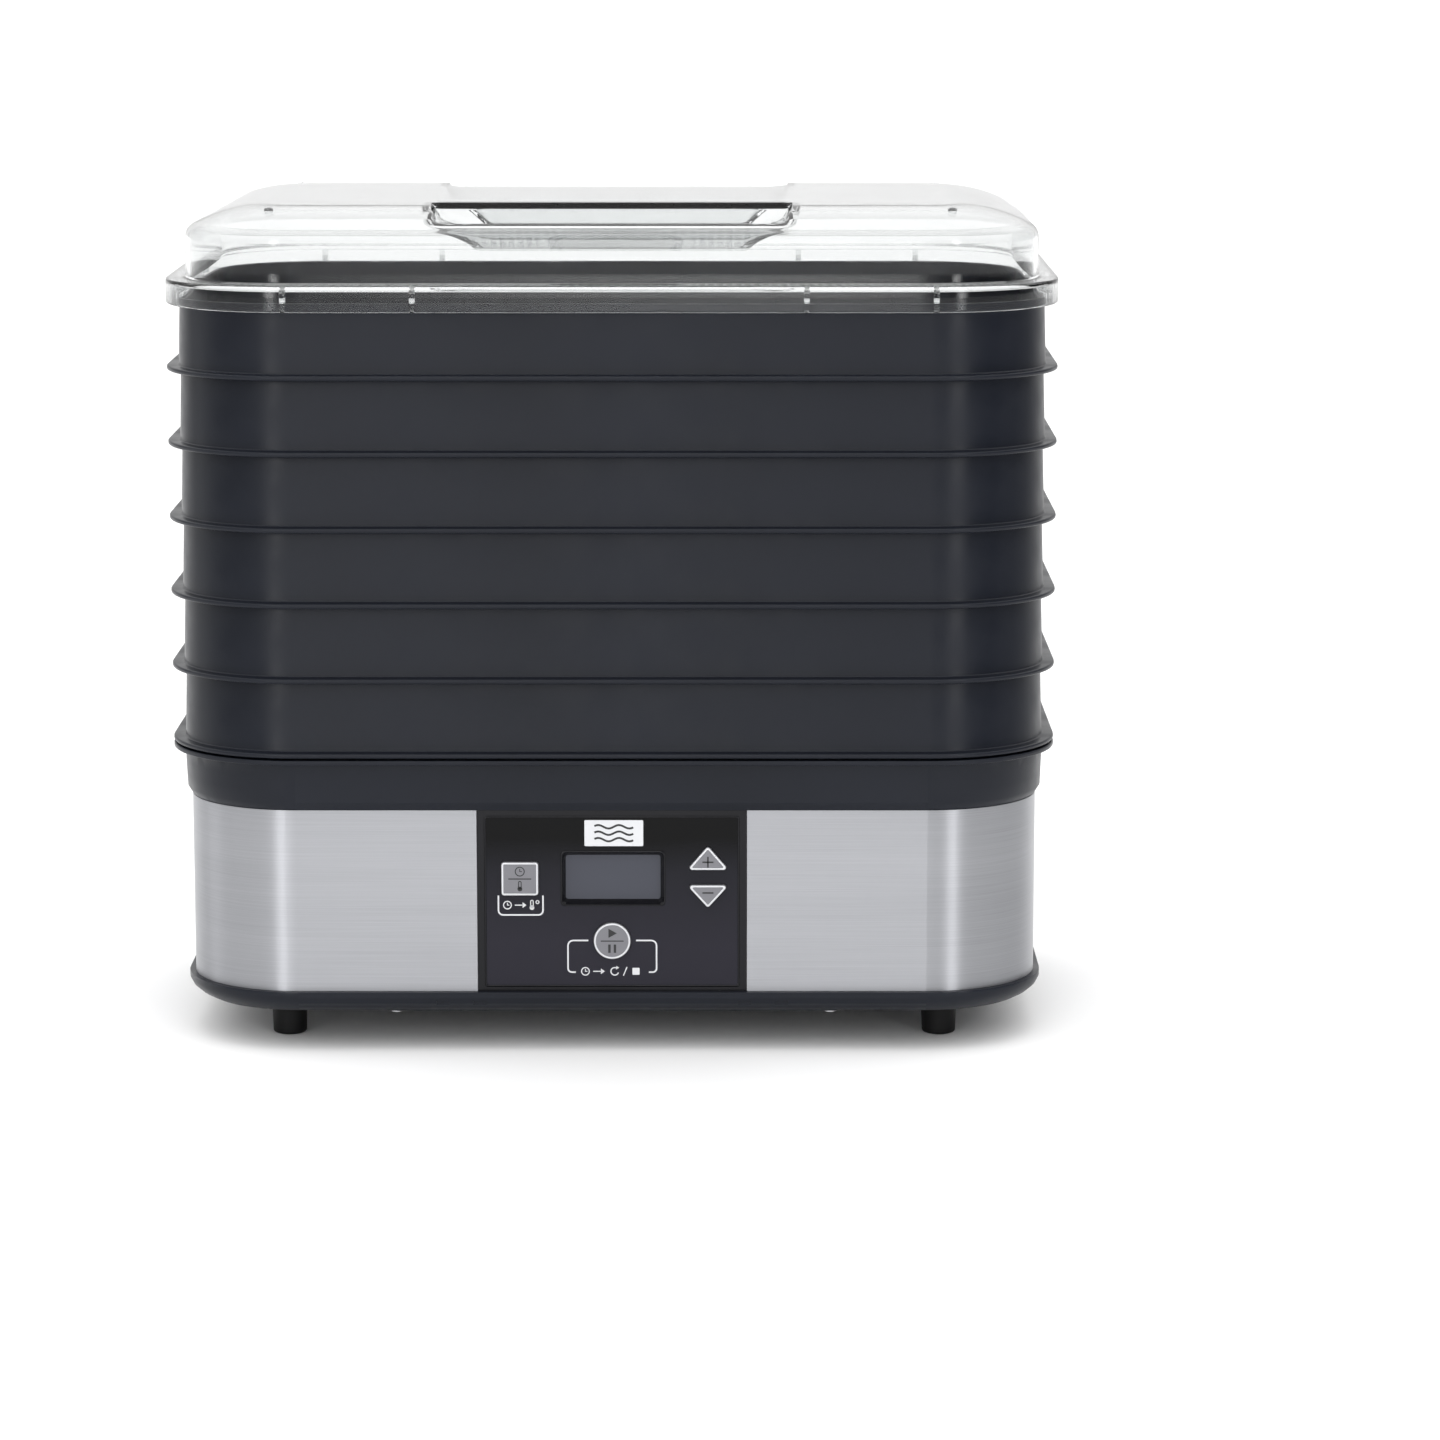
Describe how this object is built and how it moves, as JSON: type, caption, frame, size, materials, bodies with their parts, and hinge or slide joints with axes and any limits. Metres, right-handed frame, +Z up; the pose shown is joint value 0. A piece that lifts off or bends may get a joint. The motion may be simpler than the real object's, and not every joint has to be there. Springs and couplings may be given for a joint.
{
  "type": "food dehydrator",
  "caption": "Countertop food dehydrator: stacking black trays under a clear lid on a steel-banded base with fan, heater, display and keys.",
  "frame": {"origin": "middle of the footprint, on the plane the four feet stand on", "axes": "+Z up, +X to the right of a person facing the control panel, -Y towards that person; the panel faces -Y"},
  "size_m": [0.437, 0.265, 0.4113],
  "materials": {
    "clear_plastic": "gloss",
    "black_plastic": "satin",
    "gloss_black": "gloss",
    "panel_film": "gloss",
    "frosted_mesh": "satin",
    "frosted_plastic": "satin",
    "brushed_steel": "satin",
    "black_rubber": "matte",
    "zinc_steel": "satin",
    "badge_plate": "satin",
    "display_glass": "gloss",
    "display_module": "satin",
    "circuit_board": "satin",
    "dark_component": "satin",
    "relay_case": "satin",
    "key_grey": "satin",
    "bearing_bronze": "satin",
    "lamination_steel": "satin",
    "coil_tape": "satin",
    "fan_plastic": "satin",
    "mica": "matte",
    "heating_wire": "satin",
    "thermostat_case": "satin",
    "sensor_bead": "satin",
    "terminal_plastic": "satin",
    "wire_jacket": "satin",
    "heater_sleeve": "matte"
  },
  "bodies": {
    "base": {"upper_housing": "black_plastic", "outlet_grille": "black_plastic", "lower_housing": "black_plastic", "bottom_cover": "black_plastic", "air_duct": "black_plastic", "panel_bezel": "gloss_black", "steel_band": "brushed_steel", "foot_front_left": "black_rubber", "foot_front_right": "black_rubber", "foot_rear_left": "black_rubber", "foot_rear_right": "black_rubber", "cord_gland": "black_rubber", "motor_grommets": "black_rubber", "foot_screws": "zinc_steel", "housing_screws": "zinc_steel", "cover_screws": "zinc_steel", "board_screws": "zinc_steel", "motor_screws": "zinc_steel", "motor_mount": "zinc_steel", "lower_bracket": "zinc_steel", "upper_bracket": "zinc_steel", "panel_overlay": "panel_film", "badge": "badge_plate", "lcd_window": "display_glass", "lcd_module": "display_module", "control_board": "circuit_board", "power_board": "circuit_board", "tact_switches": "dark_component", "relay": "relay_case", "capacitor": "dark_component", "motor_bearings": "bearing_bronze", "motor_stator": "lamination_steel", "motor_coil": "coil_tape", "heater_frame": "mica", "heater_coil": "heating_wire", "thermostat": "thermostat_case", "thermal_fuse": "zinc_steel", "thermistor": "sensor_bead", "transformer_core": "lamination_steel", "transformer_winding": "coil_tape", "terminal_block": "terminal_plastic", "panel_cable": "wire_jacket", "heater_leads": "heater_sleeve", "motor_leads": "wire_jacket"},
    "tray_1": {"tray_1": "black_plastic"},
    "tray_2": {"tray_2": "black_plastic"},
    "tray_3": {"tray_3": "black_plastic"},
    "tray_4": {"tray_4": "black_plastic"},
    "tray_5": {"tray_5": "black_plastic"},
    "tray_6": {"tray_6": "black_plastic"},
    "lid": {"lid": "clear_plastic"},
    "mesh_sheet": {"mesh_sheet": "frosted_mesh"},
    "fruit_roll_sheet": {"fruit_roll_sheet": "frosted_plastic"},
    "fan_rotor": {"motor_shaft": "zinc_steel", "motor_rotor": "lamination_steel", "fan_impeller": "fan_plastic"},
    "mode_button": {"mode_button": "key_grey"},
    "start_button": {"start_button": "key_grey"},
    "plus_button": {"plus_button": "key_grey"},
    "minus_button": {"minus_button": "key_grey"}
  },
  "joints": [
    {"name": "tray_1_lift", "type": "slide", "parent": "base", "child": "tray_1", "axis": [0, 0, 1], "range_m": [0, 0.06]},
    {"name": "tray_2_lift", "type": "slide", "parent": "tray_1", "child": "tray_2", "axis": [0, 0, 1], "range_m": [0, 0.06]},
    {"name": "tray_3_lift", "type": "slide", "parent": "tray_2", "child": "tray_3", "axis": [0, 0, 1], "range_m": [0, 0.06]},
    {"name": "tray_4_lift", "type": "slide", "parent": "tray_3", "child": "tray_4", "axis": [0, 0, 1], "range_m": [0, 0.06]},
    {"name": "tray_5_lift", "type": "slide", "parent": "tray_4", "child": "tray_5", "axis": [0, 0, 1], "range_m": [0, 0.06]},
    {"name": "tray_6_lift", "type": "slide", "parent": "tray_5", "child": "tray_6", "axis": [0, 0, 1], "range_m": [0, 0.06]},
    {"name": "lid_lift", "type": "slide", "parent": "tray_6", "child": "lid", "axis": [0, 0, 1], "range_m": [0, 0.08]},
    {"name": "mesh_sheet_lift", "type": "slide", "parent": "tray_6", "child": "mesh_sheet", "axis": [0, 0, 1], "range_m": [0, 0.03]},
    {"name": "fruit_roll_sheet_lift", "type": "slide", "parent": "tray_5", "child": "fruit_roll_sheet", "axis": [0, 0, 1], "range_m": [0, 0.012]},
    {"name": "fan_spin", "type": "hinge", "parent": "base", "child": "fan_rotor", "pos_m": [0, 0, 0.092], "axis": [0, 0, 1], "continuous": true},
    {"name": "mode_press", "type": "slide", "parent": "base", "child": "mode_button", "axis": [0, 1, 0], "range_m": [0, 0.001], "stiffness_N_per_m": 1500},
    {"name": "start_press", "type": "slide", "parent": "base", "child": "start_button", "axis": [0, 1, 0], "range_m": [0, 0.001], "stiffness_N_per_m": 1500},
    {"name": "plus_press", "type": "slide", "parent": "base", "child": "plus_button", "axis": [0, 1, 0], "range_m": [0, 0.001], "stiffness_N_per_m": 1500},
    {"name": "minus_press", "type": "slide", "parent": "base", "child": "minus_button", "axis": [0, 1, 0], "range_m": [0, 0.001], "stiffness_N_per_m": 1500}
  ]
}
